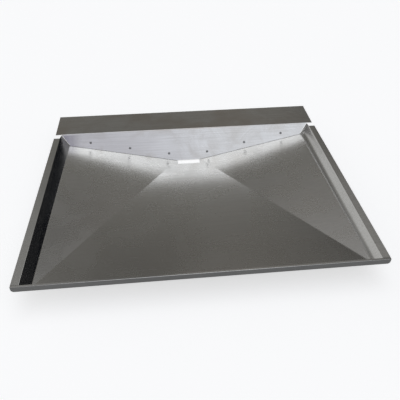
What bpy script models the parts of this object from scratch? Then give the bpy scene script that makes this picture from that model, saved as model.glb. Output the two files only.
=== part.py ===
"""Drip tray of folded sheet steel with a rectangular outlet slot.

Two sheets joined by six blind rivets.  The pan body has three sloping bottom facets, 45 degree side
walls, side flanges and a turned-down front lip.  The rear plate is a V-shaped panel with a wide flange.
Metres, +Z up, front towards -Y.  The origin is under the middle of the tray, at its lowest point.
"""

import math

import bmesh
import bpy
from mathutils import Matrix, Vector

# Driving dimensions
WIDTH = 0.690               # over the side flanges
BODY_DEPTH = 0.500          # front edge to the rear bend
REAR_FLANGE = 0.093         # depth of the wide rear flange
SIDE_FLANGE = 0.0145        # width of each side flange
SHEET = 0.0012              # sheet thickness
GAP = 0.0003                # between touching pieces

FRONT_DROP = 0.014          # base below the rim at the front corners
REAR_DROP = 0.022           # base below the rim at the back corners
OUTLET_DROP = 0.060         # outlet below the rim
FRONT_BASE_HALF = 0.313     # half width of the base at the front
REAR_BASE_HALF = 0.3087     # half width of the base at the back
FRONT_BASE_INSET = 0.008    # base edge behind the front edge

RIM_STRIP = 0.004           # flat strip along the top of the front wall
LIP_DROP = 0.0125           # height of the turned-down front lip
LIP_CORNER = 0.0035         # lower corners of the lip, cut back by this much
FLANGE_FRONT = 0.0050       # front end of the side flanges
FLANGE_BACK = 0.482         # back end of the side flanges

OUTLET_HALF = 0.0317        # half length of the straight run at the outlet, crease to crease
SLOT_HALF = 0.029           # half length of the slot
SLOT_FRONT = 0.421          # front edge of the slot
TAB_HEIGHT = 0.025          # upturned tabs behind the rear plate
REAR_BEND_HALF = 0.343      # half length of the rear bend
REAR_EDGE_CLEAR = 0.0013    # lower edge of the rear plate above the facets
WALL_TUCK = SHEET + 3 * GAP     # back corners of the side walls below the rear flange
PANEL_CLEAR = 2 * SHEET     # side edges of the rear panel inside the side walls

RIVET_X = (0.0508, 0.1524, 0.254)   # rivets at a 101.6 mm pitch, on both sides of the middle
RIVET_ABOVE_SEAM = 0.0148   # up the plate from the seam
RIVET_SHANK = 0.0016        # radii of the rivet
RIVET_BORE = 0.0011
RIVET_HEAD = 0.00325
RIVET_DOME = 0.0011         # height of the domed head
DOME_ANGLES = (15, 40, 65, 90)      # degrees up the dome's profile
RIVET_BULB = 0.0024         # radius of the set blind end
RIVET_BULB_LENGTH = 0.0026
RIVET_BULB_STRAIGHT = 0.0016        # straight part of the blind end
STEM_RADIUS = 0.0008
STEM_TOP = 0.00044          # broken end of the stem above the head's underside
STEM_CHAMFER = 0.0001
STEM_HEAD = 0.00155
STEM_HEAD_FOOT = 0.00124    # radius at the foot of the mandrel's head
STEM_HEAD_HEIGHT = 0.0009
HOLE_DEPTH = 0.01           # length of the cutters
SEGMENTS = 24

# The rear plate lies at 45 degrees: its top face is z = y - BODY_DEPTH.
PLATE_NORMAL = Vector((0, -1, 1)).normalized()
PLATE_UP = Vector((0, 1, 1)).normalized()
# The tabs' front face is this far behind the plate's, measured along Y.
TAB_SHIFT = (SHEET + GAP) * math.sqrt(2)

STEEL = (0.42, 0.42, 0.43, 1)
RIVET_METAL = (0.50, 0.50, 0.51, 1)
STEM_METAL = (0.20, 0.20, 0.21, 1)


def clear_scene():
    for old in list(bpy.data.objects):
        bpy.data.objects.remove(old, do_unlink=True)


def new_collection(name):
    collection = bpy.data.collections.new(name)
    bpy.context.scene.collection.children.link(collection)
    return collection


def metal(name, colour, roughness):
    material = bpy.data.materials.new(name)
    material.use_nodes = True
    shader = material.node_tree.nodes["Principled BSDF"]
    shader.inputs["Base Color"].default_value = colour
    shader.inputs["Metallic"].default_value = 1.0
    shader.inputs["Roughness"].default_value = roughness
    return material


def add_object(name, bm, collection, material):
    mesh = bpy.data.meshes.new(name)
    bm.to_mesh(mesh)
    bm.free()
    mesh.materials.append(material)
    obj = bpy.data.objects.new(name, mesh)
    collection.objects.link(obj)
    return obj


def extrude_edge(bm, edge, start, end):
    """Extrude a boundary edge to two new places: start for its end nearer -X, end for the other."""
    made = bmesh.ops.extrude_edge_only(bm, edges=[edge])["geom"]
    verts = sorted((v for v in made if isinstance(v, bmesh.types.BMVert)), key=lambda v: v.co.x)
    verts[0].co, verts[1].co = start, end
    return bm.edges.get(verts)


def seam_point(x):
    """A point of the seam, where a side facet meets the front face of its tab."""
    share = (REAR_BASE_HALF - abs(x)) / (REAR_BASE_HALF - OUTLET_HALF)
    z = -REAR_DROP - share * (OUTLET_DROP - REAR_DROP)
    return Vector((x, BODY_DEPTH + TAB_SHIFT + z, z))


def rivet_place(x):
    """The point on the rear plate's top face where a rivet's axis goes through."""
    seam = seam_point(x)
    return seam + PLATE_UP * RIVET_ABOVE_SEAM + PLATE_NORMAL * (SHEET + GAP)


def build_bottom(bm):
    """The three sloping facets, with the slot notched into the front one."""
    corner = {}
    for side, sign in (("left", -1), ("right", 1)):
        corner[side, "front"] = bm.verts.new((sign * FRONT_BASE_HALF, FRONT_BASE_INSET, -FRONT_DROP))
        corner[side, "rear"] = bm.verts.new(seam_point(sign * REAR_BASE_HALF))
        corner[side, "outlet"] = bm.verts.new(seam_point(sign * OUTLET_HALF))
        outlet = corner[side, "outlet"].co
        slope = (outlet.z + FRONT_DROP) / (outlet.y - FRONT_BASE_INSET)
        slot_z = -FRONT_DROP + slope * (SLOT_FRONT - FRONT_BASE_INSET)
        corner[side, "notch"] = bm.verts.new((sign * SLOT_HALF, outlet.y, outlet.z))
        corner[side, "slot"] = bm.verts.new((sign * SLOT_HALF, SLOT_FRONT, slot_z))
    left = [corner["left", k] for k in ("front", "rear", "outlet", "notch", "slot")]
    right = [corner["right", k] for k in ("front", "rear", "outlet", "notch", "slot")]
    bm.faces.new((left[0], left[2], left[1]))
    bm.faces.new((right[0], right[1], right[2]))
    bm.faces.new((left[0], left[4], left[3], left[2]))
    bm.faces.new((right[0], right[2], right[3], right[4]))
    bm.faces.new((left[0], right[0], right[4], left[4]))
    return left, right


def build_side(bm, base_front, base_rear, rim_front, sign):
    """One side wall with its flange; rim_front is the front wall's top corner."""
    rim_x = sign * (WIDTH / 2 - SIDE_FLANGE)
    start = bm.verts.new((rim_x, FLANGE_FRONT, 0))
    stop = bm.verts.new((rim_x, FLANGE_BACK, 0))
    # The wall's back corner passes under the rear flange.
    lean = (abs(rim_x) - REAR_BASE_HALF) / REAR_DROP
    back = bm.verts.new((rim_x - sign * lean * WALL_TUCK, BODY_DEPTH + TAB_SHIFT - WALL_TUCK,
                         -WALL_TUCK))
    for corners in ((base_front, start, rim_front), (base_front, stop, start),
                    (base_front, base_rear, stop), (base_rear, back, stop)):
        bm.faces.new(corners if sign < 0 else corners[::-1])
    outer = [bm.verts.new((sign * WIDTH / 2, v.co.y, 0)) for v in (start, stop)]
    flange = (start, stop, outer[1], outer[0])
    bm.faces.new(flange if sign < 0 else flange[::-1])


def build_front(bm, base_left, base_right):
    """Front wall, flat rim strip across the full width, and turned-down lip."""
    rim_x = WIDTH / 2 - SIDE_FLANGE
    wall_top = extrude_edge(bm, bm.edges.get((base_left, base_right)),
                            (-rim_x, RIM_STRIP, 0), (rim_x, RIM_STRIP, 0))
    top_left, top_right = sorted(wall_top.verts, key=lambda v: v.co.x)
    ears = [bm.verts.new((sign * WIDTH / 2, RIM_STRIP, 0)) for sign in (-1, 1)]
    front = [bm.verts.new((x, 0, 0)) for x in (-WIDTH / 2, -rim_x, rim_x, WIDTH / 2)]
    row = (ears[0], top_left, top_right, ears[1])
    for i in range(3):
        bm.faces.new((front[i], front[i + 1], row[i + 1], row[i]))
    lip_z = (0, LIP_CORNER - LIP_DROP, -LIP_DROP)
    lip_x = (WIDTH / 2, WIDTH / 2, WIDTH / 2 - LIP_CORNER)
    below = [bm.verts.new((-lip_x[1], 0, lip_z[1])), bm.verts.new((-lip_x[2], 0, lip_z[2])),
             bm.verts.new((lip_x[2], 0, lip_z[2])), bm.verts.new((lip_x[1], 0, lip_z[1]))]
    bm.faces.new((front[0], below[0], below[1], front[1]))
    bm.faces.new((front[1], below[1], below[2], front[2]))
    bm.faces.new((front[2], below[2], below[3], front[3]))
    return top_left, top_right


def build_pan(collection, material):
    bm = bmesh.new()
    left, right = build_bottom(bm)
    top_left, top_right = build_front(bm, left[0], right[0])
    build_side(bm, left[0], left[1], top_left, -1)
    build_side(bm, right[0], right[1], top_right, 1)
    for a, b in ((left[1], left[2]), (right[1], right[2])):
        low, high = sorted((a, b), key=lambda v: v.co.x)
        extrude_edge(bm, bm.edges.get((a, b)), low.co + PLATE_UP * TAB_HEIGHT,
                     high.co + PLATE_UP * TAB_HEIGHT)
    bmesh.ops.recalc_face_normals(bm, faces=bm.faces)
    pan = add_object("pan_body", bm, collection, material)
    add_thickness(pan)
    return pan


def build_rear_plate(collection, material):
    """The V-shaped panel at 45 degrees and the wide rear flange."""
    bm = bmesh.new()
    lift = Vector((0, REAR_EDGE_CLEAR, REAR_EDGE_CLEAR))
    off_tab = PLATE_NORMAL * (SHEET + GAP)
    rim_half = WIDTH / 2 - SIDE_FLANGE - PANEL_CLEAR
    points = [
        Vector((rim_half, BODY_DEPTH, 0)),
        seam_point(REAR_BASE_HALF - PANEL_CLEAR) + off_tab + lift,
        seam_point(OUTLET_HALF) + off_tab + lift,
    ]
    mirrored = [Vector((-p.x, p.y, p.z)) for p in reversed(points)]
    verts = [bm.verts.new(p) for p in points + mirrored]
    bm.faces.new((verts[0], verts[1], verts[2]))
    bm.faces.new((verts[0], verts[2], verts[3], verts[5]))
    bm.faces.new((verts[3], verts[4], verts[5]))
    ends = [bm.verts.new((sign * REAR_BEND_HALF, BODY_DEPTH, 0)) for sign in (-1, 1)]
    back_y = BODY_DEPTH + REAR_FLANGE
    back = [bm.verts.new((x, back_y, 0)) for x in (-WIDTH / 2, -rim_half, rim_half, WIDTH / 2)]
    row = (ends[0], verts[5], verts[0], ends[1])
    for i in range(3):
        bm.faces.new((row[i], row[i + 1], back[i + 1], back[i]))
    bmesh.ops.recalc_face_normals(bm, faces=bm.faces)
    plate = add_object("rear_plate", bm, collection, material)
    add_thickness(plate)
    return plate


def add_thickness(obj):
    """Solidify below the top face, after turning every face upwards."""
    bm = bmesh.new()
    bm.from_mesh(obj.data)
    flange = max(bm.faces, key=lambda f: f.calc_center_median().z - abs(f.normal.y))
    if flange.normal.z < 0:
        bmesh.ops.reverse_faces(bm, faces=bm.faces)
    bm.to_mesh(obj.data)
    bm.free()
    solid = obj.modifiers.new("sheet", "SOLIDIFY")
    solid.thickness = SHEET
    solid.offset = -1
    solid.use_even_offset = True
    solid.use_quality_normals = True


def plate_frame(x):
    """The matrix that puts local +Z along the plate's normal at a rivet."""
    side = Vector((1, 0, 0))
    turn = Matrix((side, PLATE_NORMAL.cross(side), PLATE_NORMAL)).transposed().to_4x4()
    return Matrix.Translation(rivet_place(x)) @ turn


def drill(obj, cutters, x_values):
    """Cut the rivet holes through a sheet."""
    for x in x_values:
        bm = bmesh.new()
        bmesh.ops.create_cone(bm, cap_ends=True, segments=SEGMENTS, radius1=RIVET_SHANK + GAP,
                              radius2=RIVET_SHANK + GAP, depth=HOLE_DEPTH)
        mesh = bpy.data.meshes.new("hole")
        bm.to_mesh(mesh)
        bm.free()
        cutter = bpy.data.objects.new(f"{obj.name}_hole", mesh)
        cutters.objects.link(cutter)
        cutter.matrix_world = plate_frame(x)
        cutter.hide_render = True
        cutter.display_type = "WIRE"
        cut = obj.modifiers.new("hole", "BOOLEAN")
        cut.object = cutter
        cut.solver = "EXACT"
        cut.operation = "DIFFERENCE"


def turned(name, profile, collection, material):
    """A closed profile in the XZ plane turned round Z."""
    bm = bmesh.new()
    verts = [bm.verts.new((r, 0, z)) for r, z in profile]
    for i, vert in enumerate(verts):
        after = verts[(i + 1) % len(verts)]
        if vert.co.x > 0 or after.co.x > 0:
            bm.edges.new((vert, after))
    obj = add_object(name, bm, collection, material)
    screw = obj.modifiers.new("turn", "SCREW")
    screw.axis = "Z"
    screw.steps = SEGMENTS
    screw.render_steps = SEGMENTS
    screw.use_merge_vertices = True
    screw.merge_threshold = 0.00001
    screw.use_smooth_shade = True
    return obj


def rivet_profile():
    """Domed head above the plate, shank through both sheets, bulb behind the tab."""
    grip = 2 * SHEET + GAP
    dome = []
    for degrees in DOME_ANGLES:
        angle = math.radians(degrees)
        radius = RIVET_BORE + (RIVET_HEAD - RIVET_BORE) * math.cos(angle)
        dome.append((radius, GAP + RIVET_DOME * math.sin(angle)))
    head = [(RIVET_BORE, GAP + RIVET_DOME)] + dome[::-1] + [(RIVET_HEAD, GAP)]
    under = -grip - GAP
    tail = [(RIVET_SHANK, GAP), (RIVET_SHANK, under), (RIVET_BULB, under),
            (RIVET_BULB, under - RIVET_BULB_STRAIGHT), (RIVET_SHANK, under - RIVET_BULB_LENGTH),
            (RIVET_BORE, under - RIVET_BULB_LENGTH)]
    return head + tail


def stem_profile():
    """The broken-off mandrel: its stem ends just inside the rivet's head, its ball is behind."""
    top = GAP + STEM_TOP
    foot = -2 * SHEET - 3 * GAP - RIVET_BULB_LENGTH
    return [(0, top), (STEM_RADIUS, top - STEM_CHAMFER), (STEM_RADIUS, foot), (STEM_HEAD, foot),
            (STEM_HEAD_FOOT, foot - STEM_HEAD_HEIGHT * 2 / 3), (0, foot - STEM_HEAD_HEIGHT)]


def build_rivets(collection, rivet_metal, stem_metal):
    made = []
    for side, sign in (("left", -1), ("right", 1)):
        for number, offset in enumerate(RIVET_X, start=1):
            for kind, profile, material in (("rivet", rivet_profile(), rivet_metal),
                                            ("rivet_mandrel", stem_profile(), stem_metal)):
                obj = turned(f"{kind}_{side}_{number}", profile, collection, material)
                obj.matrix_world = plate_frame(sign * offset)
                made.append(obj)
    return made


def lowest_point(objects):
    graph = bpy.context.evaluated_depsgraph_get()
    heights = []
    for obj in objects:
        seen = obj.evaluated_get(graph)
        heights += [(seen.matrix_world @ v.co).z for v in seen.data.vertices]
    return min(heights)


def main():
    clear_scene()
    tray = new_collection("drip_tray")
    cutters = new_collection("cutters")
    steel = metal("sheet_steel", STEEL, 0.3)
    rivet_metal = metal("rivet_steel", RIVET_METAL, 0.35)
    stem_metal = metal("mandrel_steel", STEM_METAL, 0.45)

    pan = build_pan(tray, steel)
    plate = build_rear_plate(tray, steel)
    both_sides = [sign * x for sign in (-1, 1) for x in RIVET_X]
    drill(pan, cutters, both_sides)
    drill(plate, cutters, both_sides)
    rivets = build_rivets(tray, rivet_metal, stem_metal)

    bpy.context.view_layer.update()
    shift = Vector((0, -(BODY_DEPTH + REAR_FLANGE) / 2, -lowest_point([pan, plate])))
    for obj in [pan, plate] + rivets + list(cutters.objects):
        obj.location += shift


main()
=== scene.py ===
import math

import bmesh
import bpy
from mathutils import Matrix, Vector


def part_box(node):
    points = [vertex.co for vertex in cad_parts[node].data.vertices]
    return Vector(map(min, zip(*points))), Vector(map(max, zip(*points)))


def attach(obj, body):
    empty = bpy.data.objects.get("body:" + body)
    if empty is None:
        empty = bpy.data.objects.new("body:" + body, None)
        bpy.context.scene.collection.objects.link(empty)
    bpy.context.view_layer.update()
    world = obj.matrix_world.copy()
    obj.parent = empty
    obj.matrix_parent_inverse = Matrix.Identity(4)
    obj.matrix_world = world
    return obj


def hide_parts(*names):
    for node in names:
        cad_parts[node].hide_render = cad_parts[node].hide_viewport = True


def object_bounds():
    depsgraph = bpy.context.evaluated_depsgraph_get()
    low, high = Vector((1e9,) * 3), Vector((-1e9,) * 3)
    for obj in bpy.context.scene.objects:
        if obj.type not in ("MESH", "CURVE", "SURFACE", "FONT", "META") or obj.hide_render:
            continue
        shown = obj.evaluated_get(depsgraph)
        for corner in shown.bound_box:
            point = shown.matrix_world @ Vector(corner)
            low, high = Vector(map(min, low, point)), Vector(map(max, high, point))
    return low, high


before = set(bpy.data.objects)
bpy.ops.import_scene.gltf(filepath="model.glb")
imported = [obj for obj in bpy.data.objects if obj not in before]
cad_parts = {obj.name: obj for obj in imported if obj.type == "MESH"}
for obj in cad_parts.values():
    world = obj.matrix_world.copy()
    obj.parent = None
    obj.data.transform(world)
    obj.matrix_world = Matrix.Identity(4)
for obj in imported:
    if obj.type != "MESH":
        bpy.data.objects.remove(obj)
cadLow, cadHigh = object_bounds()
print("frame loaded:", len(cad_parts), "nodes")


def newNode(tree, kind, inputs=None, **settings):
    node = tree.nodes.new(kind)
    for name, value in settings.items():
        setattr(node, name, value)
    for name, value in (inputs or {}).items():
        if isinstance(value, bpy.types.NodeSocket):
            tree.links.new(value, node.inputs[name])
        else:
            node.inputs[name].default_value = value
    return node


def mathNode(tree, operation, a, b=0.0, c=0.0, clamp=False):
    node = newNode(tree, "ShaderNodeMath", {0: a, 1: b, 2: c}, operation=operation)
    node.use_clamp = clamp
    return node.outputs[0]


def times(tree, a, b):
    return mathNode(tree, "MULTIPLY", a, b)


def softStep(tree, value, low, high, toLow=0.0, toHigh=1.0):
    ends = {"Value": value, "From Min": low, "From Max": high, "To Min": toLow, "To Max": toHigh}
    return newNode(tree, "ShaderNodeMapRange", ends, interpolation_type="SMOOTHSTEP").outputs[0]


def mixColours(tree, factor, a, b):
    return newNode(tree, "ShaderNodeMix", {0: factor, 6: a, 7: b}, data_type="RGBA").outputs[2]


def noiseNode(tree, place, scale, detail, roughness=0.5, distortion=0.0):
    return newNode(tree, "ShaderNodeTexNoise", {
        "Vector": place, "Scale": scale, "Detail": detail, "Roughness": roughness,
        "Distortion": distortion})


def effectGroup(name, numbers, result):
    # every effect takes a place and some numbers, and gives one number that varies
    tree = bpy.data.node_groups.new(name, "ShaderNodeTree")
    tree.interface.new_socket("Vector", in_out="INPUT", socket_type="NodeSocketVector")
    for number in numbers:
        tree.interface.new_socket(number, in_out="INPUT", socket_type="NodeSocketFloat")
    tree.interface.new_socket(result, in_out="OUTPUT", socket_type="NodeSocketFloat")
    return tree, tree.nodes.new("NodeGroupInput"), tree.nodes.new("NodeGroupOutput")


grainShape = {"detail": 4.0, "roughness": 0.65}
marksShape = {
    "warpScale": 5.0, "warpDetail": 2.0, "pull": (0.12, 0.05, 0.05),
    "detail": 7.0, "roughness": 0.62, "distortion": 0.6, "faint": 0.42, "full": 0.72,
}
scratchShape = {
    # two sets of lines that cross: stretch, shift and turn
    "sets": (((2.2, 9.0, 9.0), (3.0, 2.1, 0.0), 1.05), ((7.0, 3.0, 3.0), (11.0, 7.7, 0.0), 3.85)),
    "lineScale": 2.6, "lineDetail": 1.0, "lineMiddle": 0.5,
    "breakScale": 7.0, "breakDetail": 2.0, "faint": 0.56, "full": 0.70,
}


def rolledGrain():
    # the lengthwise grain that the rolling mill leaves, from -1 to 1
    tree, given, out = effectGroup("rolledGrain", ("Along", "Across"), "Grain")
    along, across = given.outputs["Along"], given.outputs["Across"]
    stretch = newNode(tree, "ShaderNodeCombineXYZ", {"X": along, "Y": across, "Z": across})
    place = newNode(tree, "ShaderNodeVectorMath",
                    {0: given.outputs["Vector"], 1: stretch.outputs[0]}, operation="MULTIPLY")
    noise = noiseNode(tree, place.outputs[0], 1.0, grainShape["detail"], grainShape["roughness"])
    grain = mathNode(tree, "MULTIPLY_ADD", noise.outputs["Fac"], 2.0, -1.0)
    tree.links.new(grain, out.inputs["Grain"])
    return tree


def handMarks():
    # wiped-on smears and blotches from handling, 0 to 1
    tree, given, out = effectGroup("handMarks", ("Size",), "Marks")
    s, place = marksShape, given.outputs["Vector"]
    warp = noiseNode(tree, place, s["warpScale"], s["warpDetail"])
    pulled = newNode(tree, "ShaderNodeVectorMath",
                     {0: warp.outputs["Color"], 1: s["pull"], 2: place}, operation="MULTIPLY_ADD")
    noise = noiseNode(tree, pulled.outputs[0], given.outputs["Size"], s["detail"], s["roughness"],
                      s["distortion"])
    marks = softStep(tree, noise.outputs["Fac"], s["faint"], s["full"])
    tree.links.new(marks, out.inputs["Marks"])
    return tree


def hairScratches():
    # thin broken scratches that run in long slightly curved lines, 0 to 1
    tree, given, out = effectGroup("hairScratches", ("Width",), "Scratches")
    s, parts = scratchShape, []
    for stretch, shift, turn in s["sets"]:
        place = newNode(tree, "ShaderNodeMapping", {
            "Vector": given.outputs["Vector"], "Location": shift, "Rotation": (0.0, 0.0, turn),
            "Scale": stretch}).outputs[0]
        lines = noiseNode(tree, place, s["lineScale"], s["lineDetail"]).outputs["Fac"]
        offLine = mathNode(tree, "ABSOLUTE", mathNode(tree, "SUBTRACT", lines, s["lineMiddle"]))
        inWidths = mathNode(tree, "DIVIDE", offLine, given.outputs["Width"])
        line = mathNode(tree, "SUBTRACT", 1.0, inWidths, clamp=True)
        breaks = noiseNode(tree, place, s["breakScale"], s["breakDetail"]).outputs["Fac"]
        parts.append(times(tree, line, softStep(tree, breaks, s["faint"], s["full"])))
    tree.links.new(mathNode(tree, "MAXIMUM", *parts), out.inputs["Scratches"])
    return tree


effects = {
    "grain": (rolledGrain(), {"Along": "grainAlong", "Across": "grainAcross"}),
    "marks": (handMarks(), {"Size": "marksSize"}),
    "scratches": (hairScratches(), {"Width": "scratchWidth"}),
}


def effect(tree, place, name, look):
    group, numbers = effects[name]
    node = newNode(tree, "ShaderNodeGroup", node_tree=group)
    tree.links.new(place, node.inputs["Vector"])
    for socket, setting in numbers.items():
        node.inputs[socket].default_value = look[setting]
    return node.outputs[0]


def sheetPull(tree, place, look):
    # near the riveted seam the facets tip down towards it, a little further out on the right
    split = newNode(tree, "ShaderNodeSeparateXYZ", {0: place})
    side = mathNode(tree, "ABSOLUTE", split.outputs["X"])
    outward = mathNode(tree, "MAXIMUM", mathNode(tree, "SUBTRACT", side, look["seamFlat"]), 0.0)
    seam = mathNode(tree, "ADD", times(tree, outward, look["seamSlant"]), look["seamY"])
    fromSeam = mathNode(tree, "MAXIMUM", mathNode(tree, "SUBTRACT", seam, split.outputs["Y"]), 0.0)
    reach = softStep(tree, split.outputs["X"], look["seamLeft"], look["seamRight"],
                     look["reachLeft"], look["reachRight"])
    inReaches = mathNode(tree, "DIVIDE", fromSeam, times(tree, reach, -1.0))
    return times(tree, mathNode(tree, "EXPONENT", inReaches), times(tree, reach, -look["seamSlope"]))


def paintedFacetShade(tree, place, look):
    # painted shade on the facets, standing in for darker reflections: darker towards the front and
    # everywhere but the right facet, which stays lighter, 0 to 1
    split = newNode(tree, "ShaderNodeSeparateXYZ", {0: place})
    shadeEdgeNoise = noiseNode(tree, place, look["facetShadeNoise"], look["facetShadeDetail"]).outputs["Fac"]
    ragged = mathNode(tree, "MULTIPLY_ADD", shadeEdgeNoise, look["facetShadeRagged"], split.outputs["Y"])
    front = softStep(tree, ragged, look["facetShadeFront"], look["facetShadeBack"], 1.0, 0.0)
    crease = mathNode(tree, "MULTIPLY_ADD", split.outputs["Y"], look["creaseTurn"],
                      split.outputs["X"])
    offRightFacet = softStep(tree, crease, look["creaseX"], look["creaseX"] + look["creaseSoft"], 1.0, 0.0)
    return times(tree, front, offRightFacet)


def plateStainsAndShade(tree, place, tone, cloud, marks, look):
    # brown storage stains on the level flange, and painted shade darkening the left end of the panel
    # below it, towards the side wall
    split = newNode(tree, "ShaderNodeSeparateXYZ", {0: place})
    level = softStep(tree, split.outputs["Z"], look["flangeLow"], look["flangeHigh"])
    stain = softStep(tree, cloud, look["stainLow"], look["stainHigh"], 0.0, look["flangeStain"])
    tone = mixColours(tree, times(tree, level, stain), tone, look["stainColour"])
    # painted shade: the panel darkens towards its left end, by the side wall
    ragged = mathNode(tree, "MULTIPLY_ADD", marks, look["leftShadeRagged"], split.outputs["X"])
    end = softStep(tree, ragged, look["leftShadeOuter"], look["leftShadeInner"], look["leftShadeStrength"], 0.0)
    below = mathNode(tree, "SUBTRACT", 1.0, level)
    return mixColours(tree, times(tree, end, below), tone, look["leftShadeColour"])


def sheetMetal(name, look):
    material = bpy.data.materials.new(name)
    material.use_nodes = True
    tree = material.node_tree
    shader = tree.nodes["Principled BSDF"]
    shader.inputs["Metallic"].default_value = 1.0
    place = newNode(tree, "ShaderNodeTexCoord").outputs["Object"]
    grain, marks, scratches = (effect(tree, place, e, look) for e in ("grain", "marks", "scratches"))

    # broad uneven tone, smears, stains and painted shade at the panel's left end, scratches, grain and
    # last the painted shade on the facets
    cloud = noiseNode(tree, place, look["cloudScale"], look["cloudDetail"]).outputs["Fac"]
    shade = softStep(tree, cloud, look["cloudLow"], look["cloudHigh"])
    tone = mixColours(tree, shade, look["colour"], look["colourOther"])
    tone = mixColours(tree, times(tree, marks, look["marksDark"]), tone, look["marksColour"])
    if "flangeStain" in look:
        tone = plateStainsAndShade(tree, place, tone, cloud, marks, look)
    tone = mixColours(tree, times(tree, scratches, look["scratchBright"]), tone,
                      look["scratchColour"])
    streaks = softStep(tree, grain, look["grainLow"], look["grainHigh"], 0.0, look["grainTone"])
    tone = mixColours(tree, streaks, tone, look["grainColour"])
    # painted shade: the facets darken towards the front and off the right facet
    if "facetShadeStrength" in look:
        facetShade = times(tree, paintedFacetShade(tree, place, look), look["facetShadeStrength"])
        tone = mixColours(tree, facetShade, tone, look["facetShadeColour"])
    tree.links.new(tone, shader.inputs["Base Color"])

    rough = mathNode(tree, "MULTIPLY_ADD", grain, look["grainRough"], look["roughness"])
    rough = mathNode(tree, "ADD", rough, times(tree, marks, look["marksRough"]))
    rough = mathNode(tree, "ADD", rough, times(tree, scratches, look["scratchRough"]), clamp=True)
    tree.links.new(rough, shader.inputs["Roughness"])

    # the sheet is never quite flat, so what it mirrors bends a little
    wave = noiseNode(tree, place, look["waveScale"], look["waveDetail"]).outputs["Fac"]
    height = times(tree, wave, look["waveHeight"])
    height = mathNode(tree, "ADD", height, times(tree, grain, look["grainHeight"]))
    height = mathNode(tree, "SUBTRACT", height, times(tree, scratches, look["scratchDepth"]))
    if "seamSlope" in look:
        height = mathNode(tree, "ADD", height, sheetPull(tree, place, look))
    bump = newNode(tree, "ShaderNodeBump", {"Height": height, "Strength": 1.0, "Distance": 1.0})
    tree.links.new(bump.outputs[0], shader.inputs["Normal"])
    return material


panSteelLook = {
    "colour": (0.82, 0.812, 0.795, 1), "colourOther": (0.88, 0.875, 0.86, 1),
    "cloudScale": 6.0, "cloudDetail": 3.0, "cloudLow": 0.3, "cloudHigh": 0.7,
    "roughness": 0.20,
    "grainAlong": 9.0, "grainAcross": 270.0, "grainRough": 0.04, "grainHeight": 0.0000006,
    "grainTone": 0.35, "grainLow": -0.5, "grainHigh": 0.6, "grainColour": (0.58, 0.57, 0.55, 1),
    "marksSize": 9.0, "marksDark": 0.25, "marksColour": (0.68, 0.675, 0.66, 1), "marksRough": 0.05,
    "scratchWidth": 0.0022, "scratchBright": 0.25, "scratchColour": (0.92, 0.92, 0.91, 1),
    "scratchRough": 0.06, "scratchDepth": 0.0000015,
    "waveScale": 9.0, "waveDetail": 1.0, "waveHeight": 0.0004,
}
facetSteelLook = dict(
    panSteelLook, roughness=0.26, grainHeight=0.0, scratchDepth=0.0,
    # painted shade on the facets, darker at the front and off the right facet
    facetShadeNoise=7.0, facetShadeDetail=4.0, facetShadeRagged=0.10, facetShadeFront=-0.24, facetShadeBack=0.08, facetShadeStrength=0.58,
    facetShadeColour=(0.46, 0.445, 0.415, 1), creaseTurn=0.648, creaseX=0.122, creaseSoft=0.008,
    seamY=0.1456, seamFlat=0.0317, seamSlant=0.137, seamSlope=0.143,
    seamLeft=-0.31, seamRight=0.31, reachLeft=0.160, reachRight=0.215)
plateSteelLook = dict(
    panSteelLook, colour=(0.86, 0.855, 0.85, 1), colourOther=(0.94, 0.94, 0.935, 1),
    cloudScale=7.5, grainAcross=240.0, waveScale=11.0,
    marksSize=16.0, marksDark=0.5, marksColour=(0.66, 0.62, 0.575, 1),
    flangeLow=0.0585, flangeHigh=0.0598, flangeStain=0.65, stainLow=0.42, stainHigh=0.62,
    stainColour=(0.68, 0.615, 0.56, 1),
    # painted shade at the panel's left end, by the side wall
    leftShadeStrength=0.75, leftShadeOuter=-0.330, leftShadeInner=-0.272, leftShadeRagged=-0.02,
    leftShadeColour=(0.30, 0.285, 0.36, 1))
edgeSteelLook = dict(
    panSteelLook, colour=(0.60, 0.59, 0.57, 1), colourOther=(0.75, 0.74, 0.72, 1),
    roughness=0.42, cloudScale=60.0)
# painted dark reflection: the rivet heads are given a dark colour so that they read as small dark dots
rivetPaintedDarkLook = dict(
    panSteelLook, colour=(0.34, 0.34, 0.35, 1), colourOther=(0.46, 0.46, 0.46, 1),
    cloudScale=400.0, roughness=0.34, marksSize=300.0, grainAlong=500.0, grainAcross=1500.0,
    grainTone=0.0, waveHeight=0.0)
# painted shade: the mandrels are near black, standing in for the shade in the hollow of each rivet
# head
stemPaintedShadeLook = dict(
    rivetPaintedDarkLook, colour=(0.12, 0.12, 0.125, 1), colourOther=(0.19, 0.185, 0.18, 1), roughness=0.5)

panSteel = sheetMetal("panSteel", panSteelLook)
facetSteel = sheetMetal("facetSteel", facetSteelLook)
plateSteel = sheetMetal("plateSteel", plateSteelLook)
cutEdge = sheetMetal("cutEdge", edgeSteelLook)
rivetSteelPaintedDark = sheetMetal("rivetSteelPaintedDark", rivetPaintedDarkLook)
stemSteelPaintedShade = sheetMetal("stemSteelPaintedShade", stemPaintedShadeLook)
print("materials made")


sheetShape = {
    "thick": 0.0012, "edgeLeast": 0.35, "edgeMost": 1.3,   # a cut edge's width, in thicknesses
    "merge": 0.00001, "flatTurn": math.radians(0.5),
    "foldTurn": math.radians(22), "foldSegments": 5, "foldMerge": 0.000001,
}


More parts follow.
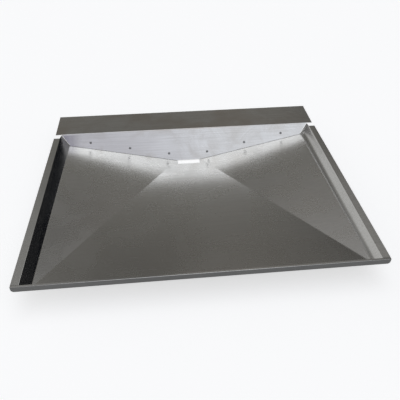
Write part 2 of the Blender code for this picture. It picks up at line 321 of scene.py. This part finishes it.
def foldedSheet(name, node, materials, shape, reshape):
    # starts from the CAD sheet, whose folds are sharp, and gives it real bends
    # materials: the sheet's own, its cut edges, and the sloping facets if it has any
    bm = bmesh.new()
    bm.from_mesh(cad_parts[node].data)
    bmesh.ops.remove_doubles(bm, verts=bm.verts, dist=shape["merge"])
    bmesh.ops.dissolve_limit(bm, angle_limit=shape["flatTurn"], verts=bm.verts, edges=bm.edges)
    for face in bm.faces:
        face.smooth = False
        longest = max(edge.calc_length() for edge in face.edges)
        width = face.calc_area() / longest / shape["thick"]
        if shape["edgeLeast"] < width < shape["edgeMost"]:
            face.material_index = materials.index(cutEdge)
        elif (facetSteel in materials and face.normal.z > shape["facetLevel"]
              and face.calc_center_median().z < shape["facetTop"]):
            face.material_index = materials.index(facetSteel)
    reshape(bm, shape)
    edgeIndex = materials.index(cutEdge)
    folds = [e for e in bm.edges
             if len(e.link_faces) == 2 and e.calc_face_angle(0.0) > shape["foldTurn"]
             and not any(f.material_index == edgeIndex for f in e.link_faces)]
    made = bmesh.ops.bevel(bm, geom=folds, affect="EDGES", offset=shape["foldOffset"],
                           offset_type="OFFSET", segments=shape["foldSegments"], profile=0.5,
                           clamp_overlap=True, material=-1)
    for face in made["faces"]:
        face.smooth = True
    bmesh.ops.remove_doubles(bm, verts=bm.verts, dist=shape["foldMerge"])
    for vert in bm.verts:
        vert.co.z = min(vert.co.z, cadHigh.z)  # a bend never stands above the CAD box
    print(name, "folds bent:", len(folds), "faces:", len(bm.faces))
    mesh = bpy.data.meshes.new(name)
    bm.to_mesh(mesh)
    bm.free()
    for material in materials:
        mesh.materials.append(material)
    piece = bpy.data.objects.new(name, mesh)
    bpy.context.scene.collection.objects.link(piece)
    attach(piece, "root")
    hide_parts(node)
    return piece


panLow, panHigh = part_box("pan_body")
panBodyShape = dict(
    sheetShape, foldOffset=0.0011, facetTop=0.052, facetLevel=0.95,
    base=panHigh[0] - 0.0325, rim=panHigh[0] - 0.015, front=panLow[1] + 0.008, length=0.472,
    frontDrop=0.014, rearDrop=0.022,                # how far the base lies below the rim
    wallMargin=0.002, wallLean=0.4, cuts=7, cutMerge=0.00001,
    roll=0.86, rollFrom=0.06, rollTo=0.94)          # both fold lines stay where they are


def rightWall(bm, shape):
    return [f for f in bm.faces
            if f.calc_center_median().x > shape["base"] - shape["wallMargin"]
            and abs(f.normal.x) > shape["wallLean"] and f.material_index == 0]


def rollWall(bm, shape):
    # the right wall leaves the base in a slow curve instead of a sharp fold
    base, run = shape["base"], shape["rim"] - shape["base"]
    for step in range(1, shape["cuts"] + 1):
        wall = rightWall(bm, shape)
        geom = wall + list(dict.fromkeys(e for f in wall for e in f.edges))
        geom += list(dict.fromkeys(v for f in wall for v in f.verts))
        bmesh.ops.bisect_plane(bm, geom=geom, plane_co=(base + run * step / (shape["cuts"] + 1), 0, 0),
                               plane_no=(1, 0, 0), dist=shape["cutMerge"])
    wall = rightWall(bm, shape)
    for vert in {v for f in wall for v in f.verts}:
        share = (vert.co.x - base) / run
        if shape["rollFrom"] < share < shape["rollTo"]:
            along = (vert.co.y - shape["front"]) / shape["length"]
            drop = shape["frontDrop"] + (shape["rearDrop"] - shape["frontDrop"]) * along
            vert.co.z -= drop * shape["roll"] * share * (1 - share)
    for face in wall:
        face.smooth = True
    bmesh.ops.triangulate(bm, faces=wall)


panBody = foldedSheet("panBody", "pan_body", [panSteel, cutEdge, facetSteel], panBodyShape, rollWall)


rearPlateShape = dict(
    sheetShape, foldOffset=0.0024,
    flat=0.0317, slant=0.1372, band=0.0025, end=0.320,   # where the V edge runs
    close=0.0012, feather=0.0008, topFace=-0.1430)       # the upper face comes down further


def closeSeam(bm, shape):
    # the panel's lower edge comes down until it almost rests on the facets
    low = min(v.co.z for v in bm.verts)
    for vert in bm.verts:
        outward = max(abs(vert.co.x) - shape["flat"], 0.0)
        seam = low + outward * shape["slant"]
        if vert.co.z < seam + shape["band"] and abs(vert.co.x) < shape["end"]:
            onTop = vert.co.z - vert.co.y > shape["topFace"]
            down = shape["close"] + (shape["feather"] if onTop else 0.0)
            vert.co.y -= down
            vert.co.z -= down


rearPlate = foldedSheet("rearPlate", "rear_plate", [plateSteel, cutEdge], rearPlateShape, closeSeam)
print("sheets folded")

# rivets and their broken-off mandrels keep the CAD shape; the heads get a painted dark reflection and
# the mandrels painted shade
for node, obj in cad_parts.items():
    if node.startswith("rivet"):
        obj.material_slots[0].material = stemSteelPaintedShade if "mandrel" in node else rivetSteelPaintedDark
print("rivets finished")


studio = {
    "cameraPlace": (-0.0601, -0.7959, 0.6608), "cameraTurn": (49.618, 0.0145, -5.513),
    "lens": 38.7, "sensor": 36.0, "clipStart": 0.01,
    "paleLevel": 0.93,
    "floorSize": 14.0, "floorRough": 0.9, "floorShine": 0.1, "floorLift": 0.62,
    "floorSeen": (0.80, 0.80, 0.80, 1), "floorMirrored": (0.36, 0.36, 0.355, 1),
    # walls are dim, and the light grows towards the ceiling: height and colour
    "walls": (
        (0.0, (0.12, 0.117, 0.11, 1)), (0.42, (0.17, 0.166, 0.152, 1)),
        (0.52, (0.132, 0.128, 0.118, 1)), (0.62, (0.078, 0.0755, 0.070, 1)),
        (0.74, (0.095, 0.093, 0.088, 1)), (0.88, (0.22, 0.22, 0.23, 1)),
        (0.97, (0.45, 0.455, 0.47, 1))),
    # soft lamps and one dark screen, the later ones in front: azimuth from straight back and
    # positive to the right, elevation, how wide, how soft, colour
    "panels": (
        (0, 77, 18, 16, (1.22, 1.25, 1.29, 1)),        # lamp overhead, towards the back
        (163, 60, 27, 46, (0.74, 0.765, 0.81, 1)),     # large soft lamp overhead, in front
        (12, 43, 8, 9, (0.190, 0.180, 0.166, 1)),      # warm patch of back wall
        (-32, 43, 11, 12, (0.21, 0.208, 0.20, 1)),     # faint window light, back left
        (-54, 17, 25, 12, (0.46, 0.46, 0.455, 1)),     # window side, back left
        (38, 42, 11, 8, (0.225, 0.22, 0.21, 1)),       # faint window light, back right
        (-150, 50, 15, 26, (0.50, 0.50, 0.55, 1)),     # shaded corner, front left
        (48, 6, 31, 9, (0.004, 0.0045, 0.006, 1))),    # dark screen, back right
}


def softRoom():
    world = bpy.data.worlds.new("softRoom")
    bpy.context.scene.world = world
    world.use_nodes = True
    tree = world.node_tree
    tree.nodes.clear()
    look = newNode(tree, "ShaderNodeTexCoord").outputs["Generated"]
    split = newNode(tree, "ShaderNodeSeparateXYZ", {0: look})
    light = newNode(tree, "ShaderNodeValToRGB", {0: split.outputs["Z"]})
    elements = light.color_ramp.elements
    while len(elements) < len(studio["walls"]):
        elements.new(0.5)
    for element, (height, colour) in zip(elements, studio["walls"]):
        element.position, element.color = height, colour
    total = light.outputs[0]
    for azimuth, elevation, wide, soft, colour in studio["panels"]:
        a, e = math.radians(azimuth), math.radians(elevation)
        towards = (math.sin(a) * math.cos(e), math.cos(a) * math.cos(e), math.sin(e))
        dot = newNode(tree, "ShaderNodeVectorMath", {0: look, 1: towards}, operation="DOT_PRODUCT")
        outer, inner = math.radians(wide + soft / 2), math.radians(max(wide - soft / 2, 1))
        share = softStep(tree, dot.outputs["Value"], math.cos(outer), math.cos(inner))
        total = mixColours(tree, share, total, colour)
    # the room itself is only mirrored: what is seen behind the tray is plain and pale
    seen = newNode(tree, "ShaderNodeLightPath").outputs["Is Camera Ray"]
    total = mixColours(tree, seen, total, (studio["paleLevel"],) * 3 + (1,))
    background = newNode(tree, "ShaderNodeBackground", {"Color": total, "Strength": 1.0})
    newNode(tree, "ShaderNodeOutputWorld", {"Surface": background.outputs[0]})


def paleFloor():
    bm = bmesh.new()
    bmesh.ops.create_grid(bm, x_segments=4, y_segments=4, size=studio["floorSize"] / 2)
    mesh = bpy.data.meshes.new("floor")
    bm.to_mesh(mesh)
    bm.free()
    material = bpy.data.materials.new("paleFloor")
    material.use_nodes = True
    tree = material.node_tree
    shader = tree.nodes["Principled BSDF"]
    shader.inputs["Roughness"].default_value = studio["floorRough"]
    shader.inputs["Specular IOR Level"].default_value = studio["floorShine"]
    shader.inputs["Emission Color"].default_value = (1, 1, 1, 1)
    # the steel mirrors a dimmer floor than the one that is seen
    seen = newNode(tree, "ShaderNodeLightPath").outputs["Is Camera Ray"]
    colour = mixColours(tree, seen, studio["floorMirrored"], studio["floorSeen"])
    tree.links.new(colour, shader.inputs["Base Color"])
    tree.links.new(times(tree, seen, studio["floorLift"]), shader.inputs["Emission Strength"])
    mesh.materials.append(material)
    floor = bpy.data.objects.new("floor", mesh)
    bpy.context.scene.collection.objects.link(floor)


def mainCamera():
    data = bpy.data.cameras.new("camera")
    data.lens = studio["lens"]
    data.sensor_width = studio["sensor"]
    data.clip_start = studio["clipStart"]
    camera = bpy.data.objects.new("camera", data)
    camera.location = studio["cameraPlace"]
    camera.rotation_euler = [math.radians(turn) for turn in studio["cameraTurn"]]
    bpy.context.scene.collection.objects.link(camera)
    bpy.context.scene.camera = camera


softRoom()
paleFloor()
mainCamera()
bpy.context.scene.view_settings.view_transform = "Standard"
print("studio set")
